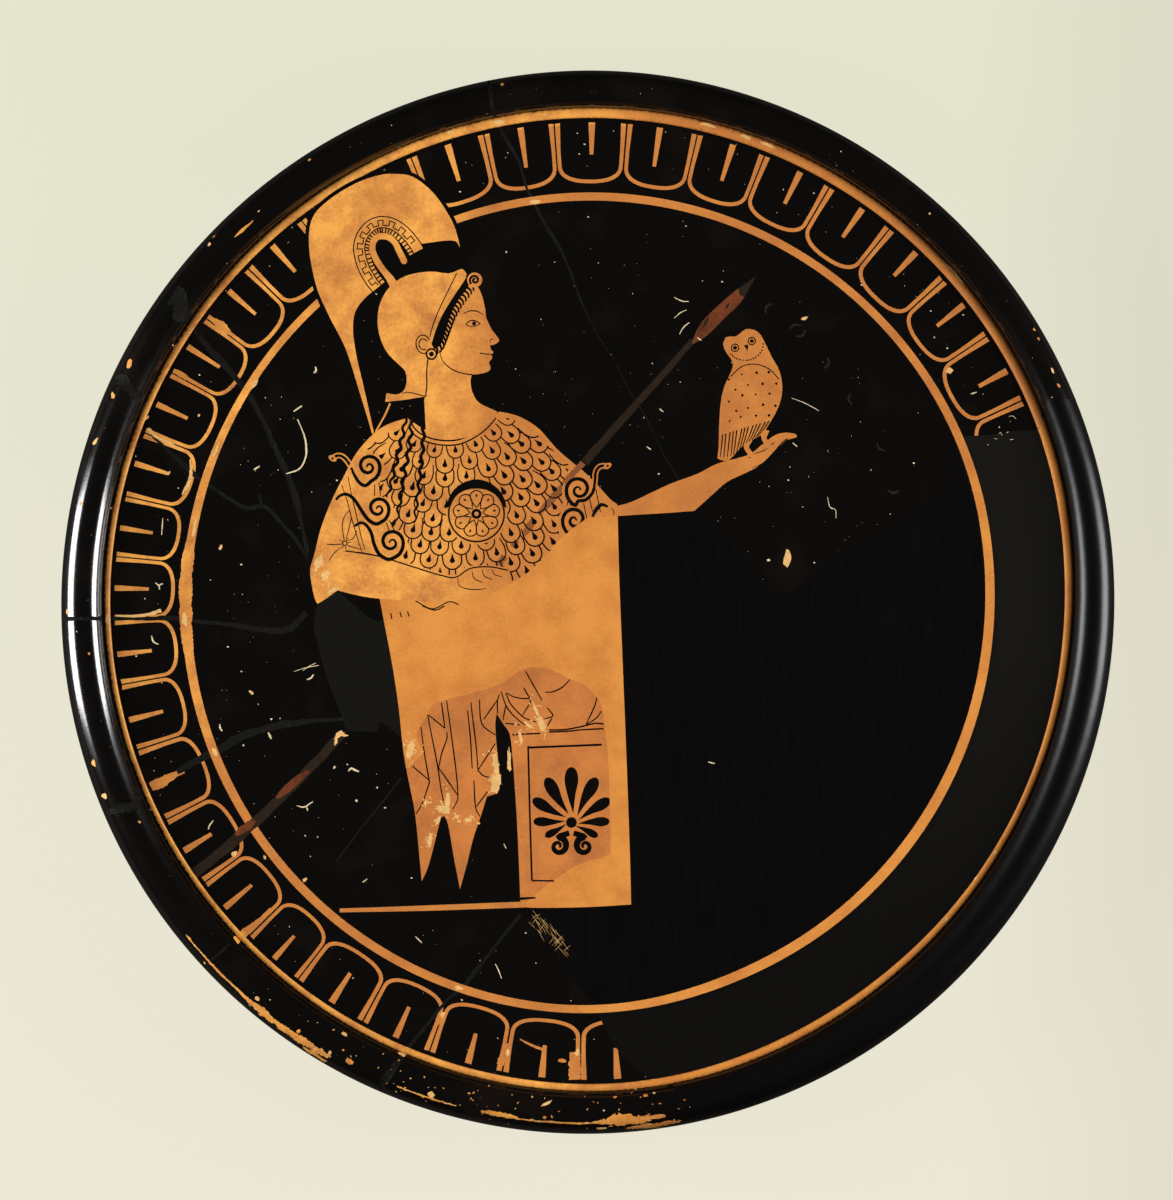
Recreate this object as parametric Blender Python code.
"""A shallow pottery plate, thrown on a wheel, on a low ring foot.

The profile is drawn once, as a closed half-section in radius and height, and turned about the plate's axis.
The pot sagged a little before it was fired, so the turned shape is stretched into a slight oval.
The origin is on the table, below the middle of the plate. +Y is away from the viewer, and +X is to the right.
"""

from math import cos, pi, radians, sin

import bmesh
import bpy
from mathutils import Matrix, Vector

# Size over all, across the oval's short and long axes
PLATE_WIDTH = 0.2500
PLATE_LENGTH = 0.2527
# The long axis is turned clockwise from +Y by this angle
LONG_AXIS_TURN = radians(12.9)

# Lip, a half-round roll that stands up from the band's edge
LIP_WIDTH = 0.0100
LIP_RISE = 0.0048
LIP_EDGE_DEPTH = 0.0046

# Small raised fillet at the foot of the lip
FILLET_WIDTH = 0.0024
FILLET_HEIGHT = 0.0006

# Sloping band between the fillet and the floor
BAND_WIDTH = 0.0161
BAND_RISE = 0.0028
BAND_WALL = 0.0058

# Floor, which rises a little from its middle to its edge
FLOOR_WALL = 0.0055
FLOOR_RISE = 0.0008

# Ring foot, set in from the floor's edge
FOOT_INSET = 0.0185
FOOT_RING_WIDTH = 0.0070
FOOT_HEIGHT = 0.0070
FOOT_EDGE_CHAMFER = 0.0008

# Corners of the faceted solid
TURN_STEPS = 96
LIP_STEPS = 10
EDGE_STEPS = 5
FILLET_STEPS = 4
FLOOR_STEPS = 4

# Gloss slip over the whole pot, seen from a few steps away
SLIP_COLOUR = (0.0065, 0.0048, 0.0040, 1.0)
SLIP_ROUGHNESS = 0.22


def arc(centre, half_width, height, start, end, steps):
    """Points on an arc of an ellipse in the half-section, from one angle to the other."""
    points = []
    for step in range(steps + 1):
        angle = start + (end - start) * step / steps
        radius = centre[0] + half_width * cos(angle)
        points.append((radius, centre[1] + height * sin(angle)))
    return points


def half_section():
    """The plate's section, from the middle of the floor's top, out over the lip and back underneath to the middle."""
    outer_radius = PLATE_WIDTH / 2
    lip_middle = outer_radius - LIP_WIDTH / 2
    fillet_middle = outer_radius - LIP_WIDTH - FILLET_WIDTH / 2
    floor_radius = outer_radius - LIP_WIDTH - FILLET_WIDTH - BAND_WIDTH
    foot_outer = floor_radius - FOOT_INSET
    foot_inner = foot_outer - FOOT_RING_WIDTH
    floor_top = FOOT_HEIGHT + FLOOR_WALL
    floor_edge = floor_top + FLOOR_RISE
    band_edge = floor_edge + BAND_RISE

    points = [(0.0, floor_top)]
    for step in range(1, FLOOR_STEPS + 1):
        share = step / FLOOR_STEPS
        points.append((floor_radius * share, floor_top + FLOOR_RISE * share**2))
    points += arc((fillet_middle, band_edge), FILLET_WIDTH / 2, FILLET_HEIGHT, pi, 0, FILLET_STEPS)
    points += arc((lip_middle, band_edge), LIP_WIDTH / 2, LIP_RISE, pi, 0, LIP_STEPS)[1:]
    points += arc((lip_middle, band_edge), LIP_WIDTH / 2, LIP_EDGE_DEPTH, 0, -pi / 2, EDGE_STEPS)[1:]
    points.append((floor_radius, floor_edge - BAND_WALL))
    points.append((foot_outer, FOOT_HEIGHT))
    points.append((foot_outer, FOOT_EDGE_CHAMFER))
    points.append((foot_outer - FOOT_EDGE_CHAMFER, 0.0))
    points.append((foot_inner + FOOT_EDGE_CHAMFER, 0.0))
    points.append((foot_inner, FOOT_EDGE_CHAMFER))
    points.append((foot_inner, FOOT_HEIGHT))
    points.append((0.0, FOOT_HEIGHT))
    return points


def oval():
    """The stretch that turns the round pot into the slight oval of the fired one."""
    long_axis = Vector((sin(LONG_AXIS_TURN), cos(LONG_AXIS_TURN), 0.0))
    return Matrix.Scale(PLATE_LENGTH / PLATE_WIDTH, 4, long_axis)


def turned_mesh(name, section):
    """A closed mesh: the section spun once round the Z axis, with its two poles merged."""
    mesh = bpy.data.meshes.new(name)
    shape = bmesh.new()
    corners = [shape.verts.new((radius, 0.0, height)) for radius, height in section]
    edges = [shape.edges.new(pair) for pair in zip(corners, corners[1:])]
    bmesh.ops.spin(
        shape,
        geom=corners + edges,
        cent=(0.0, 0.0, 0.0),
        axis=(0.0, 0.0, 1.0),
        angle=2 * pi,
        steps=TURN_STEPS,
        use_merge=True,
    )
    bmesh.ops.remove_doubles(shape, verts=shape.verts, dist=0.00001)
    bmesh.ops.recalc_face_normals(shape, faces=shape.faces)
    bmesh.ops.transform(shape, matrix=oval(), verts=shape.verts)
    shape.to_mesh(mesh)
    shape.free()
    mesh.shade_smooth()
    mesh.set_sharp_from_angle(angle=radians(40))
    return mesh


def slip_material():
    """Glossy black slip, which the firing turned to a thin glass-like skin."""
    material = bpy.data.materials.new("black_gloss_slip")
    material.use_nodes = True
    shader = material.node_tree.nodes["Principled BSDF"]
    shader.inputs["Base Color"].default_value = SLIP_COLOUR
    shader.inputs["Roughness"].default_value = SLIP_ROUGHNESS
    shader.inputs["Metallic"].default_value = 0.0
    return material


def clear_scene():
    for thing in list(bpy.data.objects):
        bpy.data.objects.remove(thing)


def build_plate():
    plate = bpy.data.objects.new("plate", turned_mesh("plate", half_section()))
    plate.data.materials.append(slip_material())
    bpy.context.scene.collection.objects.link(plate)
    return plate


clear_scene()
build_plate()
